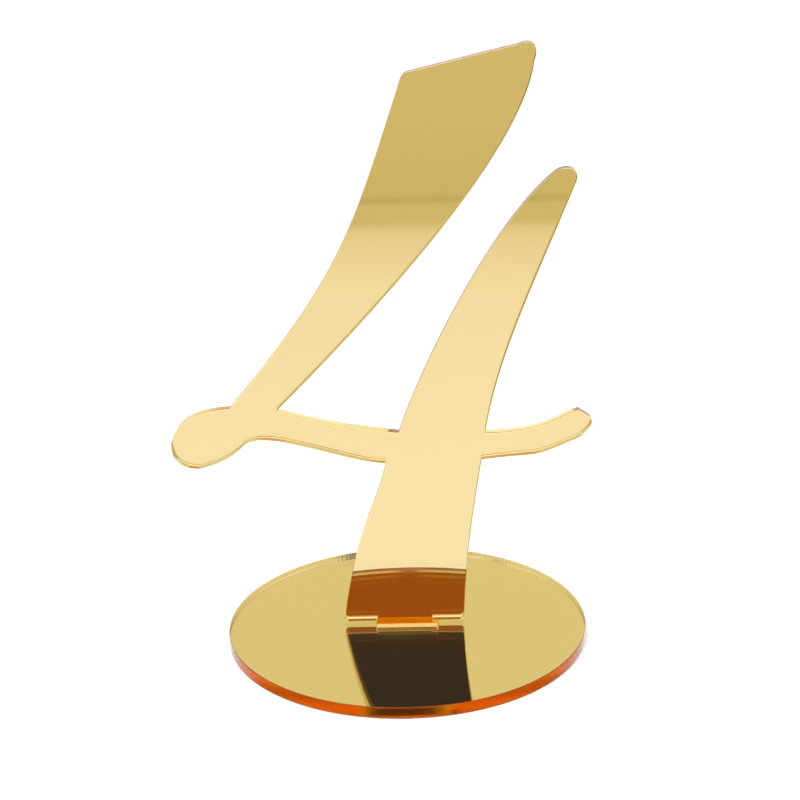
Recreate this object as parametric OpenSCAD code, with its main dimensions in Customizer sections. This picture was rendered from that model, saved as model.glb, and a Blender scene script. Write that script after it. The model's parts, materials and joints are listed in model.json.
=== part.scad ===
// Table number stand cut from stock mirror acrylic.
// An upright numeral has a tab below its foot. The tab stands in a slot in a round base,
// so the numeral lifts out and the stand packs flat. Both pieces are cut from one kind of
// sheet, which has three bonded layers: tinted clear acrylic, the metal film that makes it
// a mirror, and the paint that protects the film.
// The origin is the middle of the base's underside, +Z is up and the numeral faces -Y.

/* [Sheet] */
// Thickness of the whole sheet, with its film and its paint
sheet_t = 3; // [2:0.5:5]
// Thickness of the mirror film
film_t = 0.05; // [0.03:0.01:0.1]
// Thickness of the paint behind the film
paint_t = 0.1; // [0.05:0.05:0.3]

/* [Base] */
// Diameter of the round base
base_d = 90; // [80:1:140]
// Length of the slot, from side to side
slot_len = 15.6; // [15:0.1:25]
// How much wider than the sheet is thick the slot is cut
slot_play = 0.3; // [0.2:0.05:0.5]
// How far the slot's middle lies behind the base's middle
slot_back = 1.2; // [0:0.1:5]

/* [Number] */
// Size of the numeral, where 1 makes it 146 mm tall above its shoulders
numeral_size = 1; // [0.8:0.05:1.2]
// Width of the tab
tab_w = 14; // [8:0.5:14]
// Place of the tab's middle, to the right of the base's middle
tab_x = -0.6; // [-0.8:0.1:0.8]
// How much longer than the base is thick the tab is, so that the numeral stands on it
tab_extra = 0.25; // [0:0.05:1]

/* [Hidden] */

// Gap kept at each of the two slot edges that the tab leans on, and under the tab.
contact_gap = 0.03;
acrylic_t = sheet_t - film_t - paint_t;
slot_w = sheet_t + slot_play;

// The tab leans back in its slot until its low front edge meets one wall and its back meets
// the other: free_w = sheet_t / cos(lean) + sheet_t * tan(lean), solved here for the lean.
free_w = slot_w - 2 * contact_gap;
lean = acos(sheet_t / norm([free_w, sheet_t])) - atan(sheet_t / free_w);

// Place of the numeral's front face at the height of the base's top, and height of its
// shoulders along the leaning face, which is what the tab's length leaves above the base.
face_y = slot_back - slot_w / 2 + contact_gap + sheet_t * tan(lean);
tab_len = sheet_t + tab_extra;
seat_h = tab_len - (sheet_t - sheet_t * sin(lean) - contact_gap) / cos(lean);

// Longest chord of a drawn curve, and the fewest chords on one, which keep small tips round
chord = 2.5;
fewest_chords = 10;

// The numeral 4 as a brush writes it, clockwise in [right, up] millimetres, with up = 0 at
// its shoulders. Each row is one edge: where it starts and, if it is curved, its two
// handles. It ends where the next row starts.
STROKES = [
    // left stroke: slanted top, rounded tip and right side down to the inner corner
    [[3, 139.5], [12, 141.5], [22, 144]],
    [[29.5, 145.5], [33, 147], [35, 145.5]],
    [[33.5, 141.5], [31, 122], [0, 86.5]],
    // crossbar: top, as far as the stem
    [[-31, 56], [-21.5, 54], [-24, 53]],
    // stem above the crossbar: left side, rounded tip and right side
    [[-1, 50], [4, 65], [23, 103.5]],
    [[38.5, 115], [41, 116.5], [45, 115.5]],
    [[43, 111.5], [31.5, 84], [24, 69]],
    // crossbar right of the stem: top, rounded end and underside
    [[20.5, 49.5], [36, 49.5], [37.5, 53.5]],
    [[43.5, 55], [46.5, 53], [49, 52.5]],
    [[44, 48], [30.5, 42], [36, 44.5]],
    // stem below the crossbar: right side and rounded shoulder
    [[19.5, 42.5], [17, 27.5], [15, 16.5]],
    [[14.5, 1], [14.5, 0.5], [14, 0]],
    [[13.3, 0]]
];
// The rest of the outline, which starts left of the tab.
STROKES_LEFT = [
    // stem below the crossbar: rounded shoulder and left side
    [[-14.8, 0], [-15.5, 0], [-15.9, 0.5]],
    [[-15.8, 1.2], [-12, 26], [-7, 30.5]],
    // crossbar: underside, and the neck of the ball that ends it
    [[-4.5, 42], [-11.5, 42.5], [-18.5, 45.5]],
    [[-29.5, 48], [-43, 50.5], [-36, 45]],
    // ball: underside and left side, then its top
    [[-50.5, 41.5], [-54.5, 41.5], [-57.5, 43]],
    [[-57.5, 48], [-56.5, 52.5], [-53.5, 56.5]],
    // left stroke: left side and the rounded corner at its top
    [[-42.5, 57], [-14, 90.5], [-11, 101.5]],
    [[1, 136.5], [1.5, 138.5], [2, 139]]
];
tab_left = tab_x - tab_w / 2;
tab_right = tab_x + tab_w / 2;
TAB = [[[tab_right, 0]], [[tab_right, -tab_len]], [[tab_left, -tab_len]], [[tab_left, 0]]];

function sized(edges) = [for (edge = edges) [for (p = edge) p * numeral_size]];

function curve_point(a, b, c, d, t) =
    pow(1 - t, 3) * a + 3 * t * pow(1 - t, 2) * b + 3 * t * t * (1 - t) * c + pow(t, 3) * d;

// The points of one edge, without its end, which is the next edge's start.
function edge_points(edge, end) =
    len(edge) == 1 ? edge :
    let (steps = max(fewest_chords, ceil(norm(end - edge[0]) / chord)))
    [for (k = [0 : steps - 1]) curve_point(edge[0], edge[1], edge[2], end, k / steps)];

function outline_points(edges) =
    [for (i = [0 : len(edges) - 1])
        each edge_points(edges[i], edges[(i + 1) % len(edges)][0])];

// One layer of the leaning numeral: front is its depth behind the mirror's face.
module number_layer(front, thick) {
    translate([0, face_y, sheet_t])
        rotate([-lean, 0, 0])
            translate([0, front + thick, seat_h])
                rotate([90, 0, 0])
                    linear_extrude(thick)
                        polygon(outline_points(concat(sized(STROKES), TAB, sized(STROKES_LEFT))));
}

// One layer of the base, with the slot cut through it.
module base_layer(bottom, thick) {
    over = 1;
    difference() {
        translate([0, 0, bottom])
            cylinder(d = base_d, h = thick, $fn = 240);
        translate([-slot_len / 2, slot_back - slot_w / 2, bottom - over])
            cube([slot_len, slot_w, thick + 2 * over]);
    }
}

module number_acrylic() {
    color("goldenrod") number_layer(0, acrylic_t);
}

module number_mirror_film() {
    color("gold") number_layer(acrylic_t, film_t);
}

module number_back_paint() {
    color("dimgray") number_layer(acrylic_t + film_t, paint_t);
}

module base_acrylic() {
    color("goldenrod") base_layer(paint_t + film_t, acrylic_t);
}

module base_mirror_film() {
    color("gold") base_layer(paint_t, film_t);
}

module base_back_paint() {
    color("dimgray") base_layer(0, paint_t);
}

number_acrylic();
number_mirror_film();
number_back_paint();
base_acrylic();
base_mirror_film();
base_back_paint();
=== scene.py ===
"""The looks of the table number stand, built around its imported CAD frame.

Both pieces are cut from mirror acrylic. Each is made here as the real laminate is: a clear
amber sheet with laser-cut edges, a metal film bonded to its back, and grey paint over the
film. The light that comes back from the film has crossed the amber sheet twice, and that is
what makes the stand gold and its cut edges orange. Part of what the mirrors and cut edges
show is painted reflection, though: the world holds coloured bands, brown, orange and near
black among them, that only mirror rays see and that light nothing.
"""

import json
import math

import bmesh
import bpy
import numpy as np
from mathutils import Matrix, Vector
from mathutils.geometry import tessellate_polygon


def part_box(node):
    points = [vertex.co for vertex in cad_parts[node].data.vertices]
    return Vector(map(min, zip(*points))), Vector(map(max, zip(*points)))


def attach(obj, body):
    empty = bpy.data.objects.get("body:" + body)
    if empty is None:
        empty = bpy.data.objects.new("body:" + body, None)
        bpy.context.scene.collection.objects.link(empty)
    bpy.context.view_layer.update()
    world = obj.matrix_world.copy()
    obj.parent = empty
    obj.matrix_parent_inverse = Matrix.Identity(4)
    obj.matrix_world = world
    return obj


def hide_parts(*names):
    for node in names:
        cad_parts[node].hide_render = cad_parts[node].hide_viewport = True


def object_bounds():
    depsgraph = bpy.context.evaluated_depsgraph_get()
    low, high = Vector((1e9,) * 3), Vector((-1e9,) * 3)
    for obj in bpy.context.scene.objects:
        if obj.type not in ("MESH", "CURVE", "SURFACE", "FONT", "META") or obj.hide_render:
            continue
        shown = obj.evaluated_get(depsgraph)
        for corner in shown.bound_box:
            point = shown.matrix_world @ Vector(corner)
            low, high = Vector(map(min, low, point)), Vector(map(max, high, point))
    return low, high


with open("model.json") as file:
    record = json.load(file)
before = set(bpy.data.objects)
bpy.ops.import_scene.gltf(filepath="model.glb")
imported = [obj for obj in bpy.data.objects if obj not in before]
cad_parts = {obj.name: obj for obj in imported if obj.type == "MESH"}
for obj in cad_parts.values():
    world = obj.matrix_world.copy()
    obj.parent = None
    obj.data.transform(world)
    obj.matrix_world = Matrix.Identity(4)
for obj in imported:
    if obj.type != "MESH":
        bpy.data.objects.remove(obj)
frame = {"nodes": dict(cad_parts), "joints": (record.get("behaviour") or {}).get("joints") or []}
cad_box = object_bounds()

MM = 0.001
CORNER = math.radians(34)  # an outline that turns by more than this has a corner there
WELD = 0.002 * MM  # CAD points closer than this are one point
FLAT = 0.01 * MM  # CAD points within this of a plane lie in it
SHARPEST_MITRE = 0.35  # the least cosine that a mitre is worked out with


# ---------------------------------------------------------------- the two sheets' own planes
class Plane:
    """A sheet's own axes: right and up lie in its face, and depth goes in from its face."""

    def __init__(self, right, up, depth, node):
        self.right, self.up, self.depth = (Vector(v).normalized() for v in (right, up, depth))
        self.front = min(v.co.dot(self.depth) for v in frame["nodes"][node].data.vertices)

    def flat(self, point):
        return (point.dot(self.right), point.dot(self.up))

    def place(self, x, y, depth):
        return self.right * x + self.up * y + self.depth * (self.front + depth)


lean_axis = Vector(frame["joints"][0]["axis"]).normalized()
number_plane = Plane((1, 0, 0), lean_axis, (0, lean_axis.z, -lean_axis.y), "number_acrylic")
base_plane = Plane((1, 0, 0), (0, 1, 0), (0, 0, -1), "base_acrylic")


def thickness(node, plane):
    """How deep a CAD node's front and back lie behind its sheet's front face."""
    depths = [v.co.dot(plane.depth) - plane.front for v in frame["nodes"][node].data.vertices]
    return min(depths), max(depths)


def face_loops(node, plane):
    """The outlines of a CAD node's front face, in its plane, outer one first."""
    bm = bmesh.new()
    bm.from_mesh(frame["nodes"][node].data)
    bmesh.ops.remove_doubles(bm, verts=bm.verts, dist=WELD)
    bm.normal_update()
    front = thickness(node, plane)[0] + plane.front

    def in_front(face):
        return all(abs(v.co.dot(plane.depth) - front) < FLAT for v in face.verts)

    front_face = {f for f in bm.faces if in_front(f)}
    rim = [e for e in bm.edges if sum(f in front_face for f in e.link_faces) == 1]
    after = {}
    for edge in rim:
        loop = next(l for l in edge.link_loops if l.face in front_face)
        after[loop.vert] = loop.link_loop_next.vert
    loops = []
    while after:
        here = next(iter(after))
        points = []
        while here in after:
            points.append(plane.flat(here.co))
            here = after.pop(here)
        loops.append(np.array(points))
    bm.free()
    return sorted(loops, key=lambda p: -abs(signed_area(p)))


def signed_area(p):
    """The area inside a closed outline, negative where it runs clockwise."""
    q = np.roll(p, -1, axis=0)
    return 0.5 * float(np.sum(p[:, 0] * q[:, 1] - p[:, 1] * q[:, 0]))


def turned(p, counter_clockwise):
    return p if (signed_area(p) > 0) == counter_clockwise else p[::-1]


def turns(p):
    """How far the outline turns at each of its points."""
    a, b = p - np.roll(p, 1, axis=0), np.roll(p, -1, axis=0) - p
    return np.abs(np.arctan2(a[:, 0] * b[:, 1] - a[:, 1] * b[:, 0], np.sum(a * b, axis=1)))


def smoothed(p, spacing):
    """The same closed outline with points every spacing, curved between its corners."""
    count = len(p)
    sharp = turns(p) > CORNER
    points = []
    for i in range(count):
        j, k = (i + 1) % count, (i + 2) % count
        start, end = p[i], p[j]
        chord = end - start
        # At a corner the tangent is the chord's own.
        leave = chord if sharp[i] else (end - p[i - 1]) * length_share(p[i - 1], start, end)
        arrive = chord if sharp[j] else (p[k] - start) * length_share(p[k], end, start)
        steps = max(1, math.ceil(np.hypot(*chord) / spacing))
        for t in np.arange(steps) / steps:
            points.append(
                (2 * t**3 - 3 * t**2 + 1) * start
                + (t**3 - 2 * t**2 + t) * leave
                + (3 * t**2 - 2 * t**3) * end
                + (t**3 - t**2) * arrive
            )
    return np.array(points)


def length_share(far, at, near):
    """The share of the way far-at-near that at-near takes: a tangent's length on a spline."""
    whole = np.hypot(*(at - far)) + np.hypot(*(near - at))
    return np.hypot(*(near - at)) / whole


def filleted(p, radius, support, steps=5):
    """The same closed outline with each corner rounded, as a laser leaves it."""
    sharp = turns(p) > CORNER
    points = []
    for i, corner in enumerate(p):
        if not sharp[i]:
            points.append(corner)
            continue
        back, on = p[i - 1] - corner, p[(i + 1) % len(p)] - corner
        back, on = back / np.hypot(*back), on / np.hypot(*on)
        turn = math.pi - math.acos(np.clip(np.dot(back, on), -1, 1))
        cut = radius * math.tan(turn / 2)
        points.append(corner + back * (cut + support))
        for t in np.arange(steps + 1) / steps:
            points.append(corner + back * cut * (1 - t) ** 2 + on * cut * t**2)
        points.append(corner + on * (cut + support))
    return np.array(points)


def offset(p, inset):
    """A closed counter-clockwise outline moved inwards, mitred at its corners."""
    if inset == 0:
        return p
    a = p - np.roll(p, 1, axis=0)
    b = np.roll(p, -1, axis=0) - p
    a /= np.hypot(a[:, 0], a[:, 1])[:, None]
    b /= np.hypot(b[:, 0], b[:, 1])[:, None]
    inward = np.column_stack((-(a[:, 1] + b[:, 1]), a[:, 0] + b[:, 0]))
    length = np.hypot(inward[:, 0], inward[:, 1])
    inward /= length[:, None]
    cosine = np.maximum(length / 2, SHARPEST_MITRE)
    return p + inward * (inset / cosine)[:, None]


def slab(name, plane, outlines, rings, material, body, node):
    """A flat piece with the given outlines. Each ring is (inset, depth), from front to back.

    The first outline is the outer one and the others are holes. The faces between rings are
    smooth, and the two flat ends keep their own normals, so that a mirror stays flat.
    """
    bm = bmesh.new()
    ends = [[], []]
    for number, outline in enumerate(outlines):
        hole = number > 0
        # A hole is walked clockwise, so that inwards, towards the solid, is on the same side.
        p = turned(outline, not hole)
        rows = [
            [bm.verts.new(plane.place(x, y, depth)) for x, y in offset(p, inset)]
            for inset, depth in rings
        ]
        for upper, lower in zip(rows, rows[1:]):
            for i in range(len(p)):
                j = (i + 1) % len(p)
                face = bm.faces.new((upper[i], lower[i], lower[j], upper[j]))
                face.smooth = True
        ends[0].append(rows[0])
        ends[1].append(rows[-1])
    for rows in ends:
        flat = [v for row in rows for v in row]
        polylines = [[Vector((*plane.flat(v.co), 0)) for v in row] for row in rows]
        for triangle in tessellate_polygon(polylines):
            if len(set(triangle)) == 3:
                bm.faces.new([flat[k] for k in triangle]).smooth = False
    bmesh.ops.recalc_face_normals(bm, faces=bm.faces)
    mesh = bpy.data.meshes.new(name)
    bm.to_mesh(mesh)
    bm.free()
    mesh.materials.append(material)
    piece = bpy.data.objects.new(name, mesh)
    bpy.context.scene.collection.objects.link(piece)
    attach(piece, body)
    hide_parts(node)
    return piece


# ------------------------------------------------------------------------- node tree helpers
def new_material(name):
    material = bpy.data.materials.new(name)
    material.use_nodes = True
    tree = material.node_tree
    tree.nodes.clear()
    output = tree.nodes.new("ShaderNodeOutputMaterial")
    shader = tree.nodes.new("ShaderNodeBsdfPrincipled")
    tree.links.new(shader.outputs["BSDF"], output.inputs["Surface"])
    return material, tree, shader, output


def put(tree, socket, value):
    """Sets a socket to a plain value, or links it."""
    if isinstance(value, bpy.types.NodeSocket):
        tree.links.new(value, socket)
    else:
        socket.default_value = value


def calc(tree, operation, *values):
    node = tree.nodes.new("ShaderNodeMath")
    node.operation = operation
    for socket, value in zip(node.inputs, values):
        put(tree, socket, value)
    return node.outputs[0]


def ramp_value(tree, value, low, high, to_low=0.0, to_high=1.0, smooth=True):
    """A value that goes from to_low to to_high as the given one goes from low to high."""
    node = tree.nodes.new("ShaderNodeMapRange")
    node.interpolation_type = "SMOOTHSTEP" if smooth else "LINEAR"
    for name, v in (("Value", value), ("From Min", low), ("From Max", high),
                    ("To Min", to_low), ("To Max", to_high)):
        put(tree, node.inputs[name], v)
    return node.outputs["Result"]


def noise(tree, vector, scale, detail=2.0, roughness=0.5, distortion=0.0):
    node = tree.nodes.new("ShaderNodeTexNoise")
    put(tree, node.inputs["Vector"], vector)
    for name, v in (("Scale", scale), ("Detail", detail), ("Roughness", roughness),
                    ("Distortion", distortion)):
        node.inputs[name].default_value = v
    return node.outputs["Fac"]


def mix_colour(tree, factor, a, b):
    """Colour a where the factor is 0, and b where it is 1."""
    node = tree.nodes.new("ShaderNodeMix")
    node.data_type = "RGBA"
    put(tree, node.inputs["Factor"], factor)
    put(tree, node.inputs[6], a)
    put(tree, node.inputs[7], b)
    return node.outputs[2]


def gradient(tree, value, stops):
    """A colour that changes with a value, through the given (value, colour) stops."""
    low, high = stops[0][0], stops[-1][0]
    node = tree.nodes.new("ShaderNodeValToRGB")
    tree.links.new(ramp_value(tree, value, low, high, smooth=False), node.inputs["Fac"])
    for stop in stops[2:]:
        node.color_ramp.elements.new(0.5)
    for element, (at, colour) in zip(node.color_ramp.elements, stops):
        element.position = (at - low) / (high - low)
        element.color = (*colour, 1)
    return node.outputs["Color"]


def sheet_coordinates(tree, tilt):
    """Object coordinates turned so that X and Z lie in the sheet and Y goes through it."""
    turn = tree.nodes.new("ShaderNodeMapping")
    turn.inputs["Rotation"].default_value = (tilt, 0, 0)
    tree.links.new(object_coordinates(tree), turn.inputs["Vector"])
    return turn.outputs["Vector"]


def across_sheet(tree, tilt):
    """How nearly the surface faces along the sheet's thickness: 1 on its faces, 0 on its edges."""
    turn = tree.nodes.new("ShaderNodeMapping")
    turn.vector_type = "NORMAL"
    turn.inputs["Rotation"].default_value = (tilt, 0, 0)
    geometry = tree.nodes.new("ShaderNodeNewGeometry")
    tree.links.new(geometry.outputs["Normal"], turn.inputs["Vector"])
    parts = tree.nodes.new("ShaderNodeSeparateXYZ")
    tree.links.new(turn.outputs["Vector"], parts.inputs["Vector"])
    return calc(tree, "ABSOLUTE", parts.outputs["Y"])


def object_coordinates(tree):
    return tree.nodes.new("ShaderNodeTexCoord").outputs["Object"]


def stretched(tree, vector, scale):
    node = tree.nodes.new("ShaderNodeMapping")
    node.inputs["Scale"].default_value = scale
    tree.links.new(vector, node.inputs["Vector"])
    return node.outputs["Vector"]


def bump(tree, height, strength, distance):
    node = tree.nodes.new("ShaderNodeBump")
    node.inputs["Strength"].default_value = strength
    node.inputs["Distance"].default_value = distance
    tree.links.new(height, node.inputs["Height"])
    return node.outputs["Normal"]


# --------------------------------------------------------------------------------- materials
ACRYLIC_IOR = 1.49
# What each metre of the amber sheet absorbs of red, green and blue light.
ABSORBED_PER_M = (2.0, 22.0, 148.0)
CUT_ROUGHNESS = 0.12
CUT_LINE_SCALE = 2600
CUT_LINE_DEPTH = 0.03 * MM
FILM_DULL, FILM_BRIGHT = (0.93, 0.875, 0.895, 1), (0.955, 0.90, 0.92, 1)
FILM_WAVE_DEPTH = 0.02 * MM
PAINT_DARK, PAINT_LIGHT = (0.085, 0.087, 0.09, 1), (0.125, 0.127, 0.13, 1)
PAINT_SCUFFED = (0.22, 0.22, 0.22, 1)
PAINT_GRAIN_DEPTH = 0.03 * MM
FLOOR_TONES = (0.86, 0.86, 0.86, 1), (0.88, 0.88, 0.88, 1)


def acrylic_material(name, tilt):
    """Clear amber acrylic: flat faces as cast, and edges with a laser's fine upright lines."""
    material, tree, shader, output = new_material(name)
    sheet = sheet_coordinates(tree, tilt)
    shader.inputs["Base Color"].default_value = (1, 1, 1, 1)
    shader.inputs["IOR"].default_value = ACRYLIC_IOR
    shader.inputs["Transmission Weight"].default_value = 1.0
    edge = ramp_value(tree, across_sheet(tree, tilt), 0.9, 0.4)
    # The faces are clean but for a faint haze. The edges are rougher.
    haze = ramp_value(tree, noise(tree, sheet, 60, 3, 0.6), 0.45, 0.8, 0.0, 0.02)
    rough = calc(tree, "ADD", haze, calc(tree, "MULTIPLY", edge, CUT_ROUGHNESS))
    tree.links.new(rough, shader.inputs["Roughness"])
    # The laser leaves lines through the thickness, so they hardly change along Y.
    lines = noise(tree, stretched(tree, sheet, (1, 0.02, 1)), CUT_LINE_SCALE, 2)
    height = calc(tree, "MULTIPLY", lines, edge)
    tree.links.new(bump(tree, height, 1.0, CUT_LINE_DEPTH), shader.inputs["Normal"])
    inside = tree.nodes.new("ShaderNodeVolumeAbsorption")
    strongest = max(ABSORBED_PER_M)
    inside.inputs["Color"].default_value = (*[1 - a / strongest for a in ABSORBED_PER_M], 1)
    inside.inputs["Density"].default_value = strongest
    tree.links.new(inside.outputs["Volume"], output.inputs["Volume"])
    return material


def film_material(name):
    """The metal film, seen through the acrylic: bright, very slightly uneven."""
    material, tree, shader, _ = new_material(name)
    where = object_coordinates(tree)
    shader.inputs["Metallic"].default_value = 1.0
    blotch = noise(tree, where, 35, 3, 0.55)
    colour = mix_colour(tree, blotch, FILM_DULL, FILM_BRIGHT)
    tree.links.new(colour, shader.inputs["Base Color"])
    tree.links.new(ramp_value(tree, blotch, 0.4, 0.9, 0.0, 0.015), shader.inputs["Roughness"])
    wave = noise(tree, where, 22, 1, 0.4)
    tree.links.new(bump(tree, wave, 0.1, FILM_WAVE_DEPTH), shader.inputs["Normal"])
    return material


def paint_material(name):
    """The grey protective paint behind the film: sprayed, satin, with fine scuffs."""
    material, tree, shader, _ = new_material(name)
    where = object_coordinates(tree)
    cloud = calc(tree, "MULTIPLY", noise(tree, where, 45, 4, 0.6), 0.7)
    grain = noise(tree, where, 1500, 3, 0.65)
    tone = calc(tree, "ADD", cloud, calc(tree, "MULTIPLY", grain, 0.3))
    colour = mix_colour(tree, ramp_value(tree, tone, 0.35, 0.65), PAINT_DARK, PAINT_LIGHT)
    scuffs = noise(tree, stretched(tree, where, (1, 1, 14)), 160, 4, 0.7, 0.4)
    scuff = calc(tree, "MULTIPLY", ramp_value(tree, scuffs, 0.66, 0.78), 0.35)
    colour = mix_colour(tree, scuff, colour, PAINT_SCUFFED)
    tree.links.new(colour, shader.inputs["Base Color"])
    tree.links.new(ramp_value(tree, tone, 0.3, 0.7, 0.38, 0.52), shader.inputs["Roughness"])
    tree.links.new(bump(tree, grain, 0.25, PAINT_GRAIN_DEPTH), shader.inputs["Normal"])
    return material


def floor_material():
    """A matt white table, very slightly uneven."""
    material, tree, shader, _ = new_material("floor")
    colour = mix_colour(tree, noise(tree, object_coordinates(tree), 3, 2), *FLOOR_TONES)
    tree.links.new(colour, shader.inputs["Base Color"])
    shader.inputs["Roughness"].default_value = 0.9
    shader.inputs["Specular IOR Level"].default_value = 0.0
    return material


lean = math.asin(lean_axis.y)
acrylic_of = {
    "number": acrylic_material("amber_acrylic_number", lean),
    "base": acrylic_material("amber_acrylic_base", math.radians(-90)),
}
film = film_material("mirror_film")
paint = paint_material("back_paint")

# ------------------------------------------------------------------------------- the laminate
EDGE_ROUND = 0.14 * MM
GLUED_ROUND = 0.02 * MM  # the acrylic's rim where it meets the film
FILM_BITE = 0.01 * MM  # the film's face lies this far inside the acrylic, with no air between
FILM_INSET = 0.04 * MM
PAINT_INSET = 0.02 * MM
PAINT_ROUND = 0.03 * MM
KERF_TAPER = math.tan(math.radians(1.6))  # the cut leans in by this much with depth
OUTLINE_STEP = 0.6 * MM
CORNER_ROUND = 0.15 * MM
CORNER_SUPPORT = 0.04 * MM
DISC_POINTS = 360
RIM_STEPS = 4


def rim_rings(radius, face, inwards):
    """Rings round one rim, from the flat face to the side. Inwards is 1 or -1, along depth."""
    if radius == 0:
        return [(0, face)]
    angles = [math.pi / 2 * k / RIM_STEPS for k in range(RIM_STEPS + 1)]
    return [
        (radius * (1 - math.sin(a)), face + inwards * radius * (1 - math.cos(a))) for a in angles
    ]


def rounded_rings(front, back, round_front, round_back):
    """Rings for a slab whose two rims are rounded, with a support ring beside each curve."""
    support = 0.4 * max(round_front, round_back)
    side = [(0, front + round_front + support), (0, back - round_back - support)]
    return rim_rings(round_front, front, 1) + side + rim_rings(round_back, back, -1)[::-1]


def circle(radius, count):
    angles = np.arange(count) * 2 * math.pi / count
    return np.column_stack((np.cos(angles), np.sin(angles))) * radius


def tapered(rings):
    """The same rings, each moved in with its depth as the laser's narrowing cut does."""
    return [(inset + KERF_TAPER * depth, depth) for inset, depth in rings]


def laminate(body, plane, outlines):
    """The three bonded layers of one cut piece."""
    front, glued = thickness(body + "_acrylic", plane)
    back = thickness(body + "_back_paint", plane)[1]
    film_back = thickness(body + "_mirror_film", plane)[1]
    sheet_rings = rounded_rings(front, glued, EDGE_ROUND, GLUED_ROUND)
    film_rings = [(FILM_INSET, glued - FILM_BITE), (FILM_INSET, film_back)]
    paint_rings = [(PAINT_INSET, glued - FILM_BITE / 2)]
    paint_rings += rounded_rings(glued + FILM_BITE, back, 0, PAINT_ROUND)
    slab(body + "_acrylic_sheet", plane, outlines, tapered(sheet_rings),
         acrylic_of[body], body, body + "_acrylic")
    slab(body + "_mirror", plane, outlines, tapered(film_rings),
         film, body, body + "_mirror_film")
    slab(body + "_paint", plane, outlines, tapered(paint_rings),
         paint, body, body + "_back_paint")


def cut_outline(loop):
    """A CAD outline as the laser cuts it: smooth curves and slightly rounded corners."""
    return filleted(smoothed(turned(loop, True), OUTLINE_STEP), CORNER_ROUND, CORNER_SUPPORT)


laminate("number", number_plane, [cut_outline(face_loops("number_acrylic", number_plane)[0])])

low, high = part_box("base_acrylic")
disc_outline = circle((high.x - low.x) / 2, DISC_POINTS)
slot_outline = cut_outline(face_loops("base_acrylic", base_plane)[1])
laminate("base", base_plane, [disc_outline, slot_outline])

# -------------------------------------------------------------------------------- the studio
FLOOR_RADIUS = 6.0
FLOOR_SIDES = 96
# Painted reflections by elevation, in degrees above the horizon: colours that only the mirrors
# see, while matt surfaces are lit plain white. The colours are linear.
PAINTED_ROOM_REFLECTION = (
    (-48, (1.0, 1.0, 1.0)), (-38, (1.15, 1.15, 1.1)), (-25, (1.15, 1.15, 1.1)),
    (-15, (1.0, 1.0, 1.0)), (12, (1.0, 1.0, 0.97)), (23, (0.74, 0.70, 0.49)),
    (30, (0.74, 0.69, 0.48)), (33, (1.05, 1.0, 0.85)), (75, (1.0, 1.0, 1.0)),
)
# Painted reflections of a table's front part, a dim room beyond its edge and a dark strip in
# the room. They are drawn in the world, not built.
PAINTED_TABLE_REFLECTION = (
    (-24, (0.62, 0.55, 0.34)), (-18, (0.62, 0.55, 0.34)), (-16.7, (0.98, 0.94, 0.95)),
    (-15, (0.99, 0.95, 0.96)), (-12, (0.96, 0.91, 0.89)), (-10, (0.92, 0.87, 0.81)),
    (-9, (0.84, 0.76, 0.64)), (-8.75, (0.80, 0.71, 0.54)), (-8.55, (0.66, 0.57, 0.34)),
    (-8.18, (0.65, 0.57, 0.34)), (-8.06, (0.55, 0.46, 0.24)), (-7.92, (0.63, 0.54, 0.31)),
    (-6, (0.66, 0.58, 0.35)),
)
# Painted reflections round the camera: a brown strip with lit panels below and above it, then
# orange, and near black on top.
PAINTED_SURROUNDINGS_REFLECTION = (
    (15.3, (1.7, 1.6, 1.3)), (16.1, (0.35, 0.113, 0.03)), (17.8, (0.35, 0.113, 0.03)),
    (18.5, (2.1, 1.9, 1.4)), (21, (1.5, 1.35, 1.05)), (25, (1.1, 0.98, 0.75)),
    (28, (0.5, 0.2, 0.03)), (33.3, (0.5, 0.2, 0.03)), (34.6, (0.045, 0.04, 0.078)),
)
# A painted highlight and a painted shade, seen only in the mirrors.
TABLE_GLARE = (3.4, 3.3, 3.0, 1)
TABLE_SHADE = (0.5, 0.27, 0.05, 1)
WHITE = (1, 1, 1, 1)
BACKDROP = (0.87, 0.87, 0.87, 1)
STUDIO_STRENGTH = 1.035


def add_floor():
    mesh = bpy.data.meshes.new("floor")
    bm = bmesh.new()
    bmesh.ops.create_circle(bm, cap_ends=True, segments=FLOOR_SIDES, radius=FLOOR_RADIUS)
    bm.to_mesh(mesh)
    bm.free()
    mesh.materials.append(floor_material())
    floor = bpy.data.objects.new("floor", mesh)
    floor.location.z = cad_box[0].z
    bpy.context.scene.collection.objects.link(floor)
    # The mirrors show a painted table reflection instead, which the world below draws.
    floor.visible_glossy = False
    floor.visible_transmission = False


def looking(tree):
    """Where a ray looks, in degrees: above the horizon, and to either side of the camera."""
    where = tree.nodes.new("ShaderNodeTexCoord").outputs["Generated"]
    parts = tree.nodes.new("ShaderNodeSeparateXYZ")
    tree.links.new(where, parts.inputs["Vector"])
    x, y, z = (parts.outputs[k] for k in "XYZ")
    degrees = 180 / math.pi
    elevation = calc(tree, "MULTIPLY", calc(tree, "ARCSINE", z), degrees)
    turn = calc(tree, "ARCTAN2", x, calc(tree, "MULTIPLY", y, -1))
    # What surrounds the camera is centred one degree to the left of straight in front.
    turn = calc(tree, "ADD", calc(tree, "MULTIPLY", turn, degrees), 1)
    return elevation, calc(tree, "ABSOLUTE", turn)


def window(tree, value, low_off, low_on, high_on, high_off):
    """1 from low_on to high_on, and 0 below low_off and above high_off."""
    rise = ramp_value(tree, value, low_off, low_on)
    return calc(tree, "MULTIPLY", rise, ramp_value(tree, value, high_off, high_on))


def overlay(tree, below, colour, mask, other_mask):
    """One colour laid over another where both masks are 1."""
    return mix_colour(tree, calc(tree, "MULTIPLY", mask, other_mask), below, colour)


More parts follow.
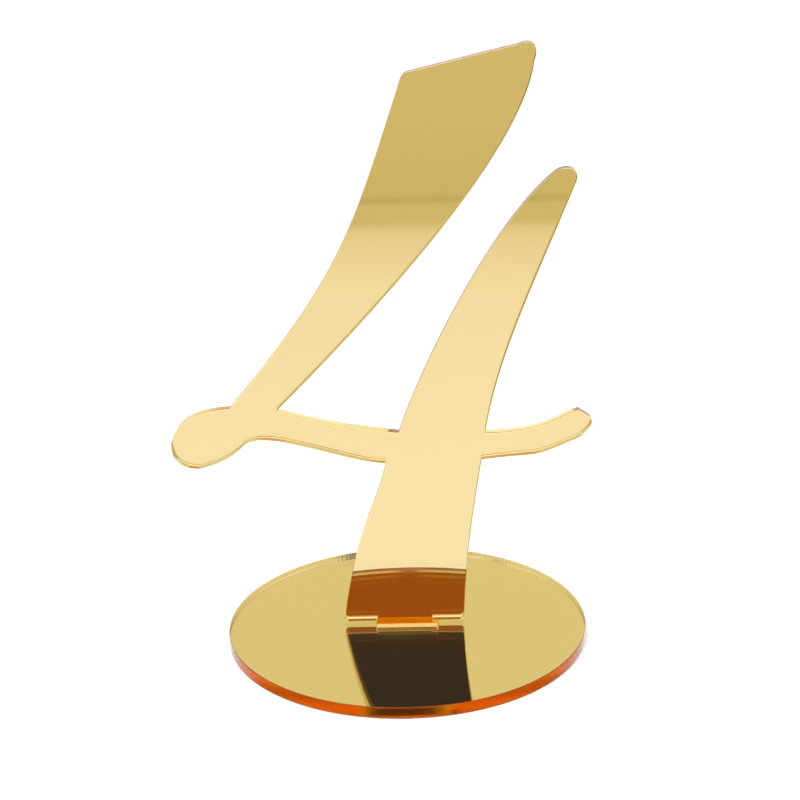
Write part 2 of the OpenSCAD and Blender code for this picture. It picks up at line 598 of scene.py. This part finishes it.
def studio_world():
    """A bright studio by direction, as the mirror faces see it.

    The mirrors see painted reflections. A white table fills the view below the horizon as far
    as its front edge. Beyond that edge the room is dimmer. In front, above the horizon, is what
    surrounds the camera.
    """
    world = bpy.data.worlds.new("studio")
    world.use_nodes = True
    tree = world.node_tree
    tree.nodes.clear()
    elevation, aside = looking(tree)
    around = gradient(tree, elevation, PAINTED_ROOM_REFLECTION)
    around = overlay(tree, around, gradient(tree, elevation, PAINTED_TABLE_REFLECTION),
                     ramp_value(tree, elevation, 8, 2), ramp_value(tree, aside, 75, 50))
    # A painted glare on the table in front of the stand, and painted shade on the table close to
    # it.
    around = overlay(tree, around, TABLE_GLARE,
                     window(tree, elevation, -23, -21, -16.9, -16.45),
                     ramp_value(tree, aside, 8, 5))
    around = overlay(tree, around, TABLE_SHADE,
                     window(tree, elevation, -48, -38, -25, -22),
                     ramp_value(tree, aside, 140, 100))
    around = overlay(tree, around, gradient(tree, elevation, PAINTED_SURROUNDINGS_REFLECTION),
                     window(tree, elevation, 8, 12, 50, 62), ramp_value(tree, aside, 9, 6))
    # Matt surfaces are lit by an even white studio, so the patches above are painted reflections.
    ray = tree.nodes.new("ShaderNodeLightPath").outputs
    colour = mix_colour(tree, ray["Is Diffuse Ray"], around, WHITE)
    # Seen straight on, the backdrop is as bright as the far floor, so no horizon shows.
    colour = mix_colour(tree, ray["Is Camera Ray"], colour, BACKDROP)
    background = tree.nodes.new("ShaderNodeBackground")
    background.inputs["Strength"].default_value = STUDIO_STRENGTH
    tree.links.new(colour, background.inputs["Color"])
    output = tree.nodes.new("ShaderNodeOutputWorld")
    tree.links.new(background.outputs["Background"], output.inputs["Surface"])
    bpy.context.scene.world = world


LIT_POINT = Vector((0, 0, 0.05))


def soft_light(name, location, size, power):
    """A large soft light aimed at the stand. Mirrors show the studio world, not the lamp."""
    data = bpy.data.lights.new(name, "AREA")
    data.shape = "DISK"
    data.size = size
    data.energy = power
    lamp = bpy.data.objects.new(name, data)
    lamp.location = location
    lamp.rotation_euler = (LIT_POINT - lamp.location).to_track_quat("-Z", "Y").to_euler()
    lamp.visible_glossy = False
    lamp.visible_transmission = False
    bpy.context.scene.collection.objects.link(lamp)


add_floor()
studio_world()
soft_light("key", Vector((-0.8, -0.7, 1.5)), 1.2, 22)
soft_light("fill", Vector((0.9, 0.6, 1.3)), 1.4, 12)

# -------------------------------------------------------------------------------- the camera
CAMERA_PLACE = Vector((0.01242, -0.56831, 0.28649))
CAMERA_DOWN, CAMERA_SIDE, CAMERA_ROLL = (math.radians(a) for a in (21.42, -1.28, -1.60))
CAMERA_LENS = 112.5
CAMERA_SENSOR = 36
CAMERA_NEAREST = 0.01


def add_camera():
    """The camera, turned by its angles down, to the side and about its own view."""
    data = bpy.data.cameras.new("camera")
    data.lens = CAMERA_LENS
    data.sensor_width = CAMERA_SENSOR
    data.clip_start = CAMERA_NEAREST
    camera = bpy.data.objects.new("camera", data)
    ahead = Vector((math.sin(CAMERA_SIDE), math.cos(CAMERA_SIDE), 0))
    right = Vector((math.cos(CAMERA_SIDE), -math.sin(CAMERA_SIDE), 0))
    vertical = Vector((0, 0, 1))
    look = ahead * math.cos(CAMERA_DOWN) - vertical * math.sin(CAMERA_DOWN)
    upright = ahead * math.sin(CAMERA_DOWN) + vertical * math.cos(CAMERA_DOWN)
    side = right * math.cos(CAMERA_ROLL) + upright * math.sin(CAMERA_ROLL)
    top = upright * math.cos(CAMERA_ROLL) - right * math.sin(CAMERA_ROLL)
    place = Matrix((side, top, -look)).transposed().to_4x4()
    place.translation = CAMERA_PLACE
    camera.matrix_world = place
    bpy.context.scene.collection.objects.link(camera)
    bpy.context.scene.camera = camera


add_camera()

# ------------------------------------------------------------------------------ the rendering
LIGHT_BOUNCES = 48  # light goes to and fro many times inside the sheets
BRIGHTEST_INDIRECT = 6

scene = bpy.context.scene
scene.view_settings.view_transform = "Standard"
scene.view_settings.look = "None"
scene.cycles.max_bounces = LIGHT_BOUNCES
scene.cycles.transmission_bounces = LIGHT_BOUNCES
scene.cycles.glossy_bounces = LIGHT_BOUNCES
scene.cycles.sample_clamp_indirect = BRIGHTEST_INDIRECT
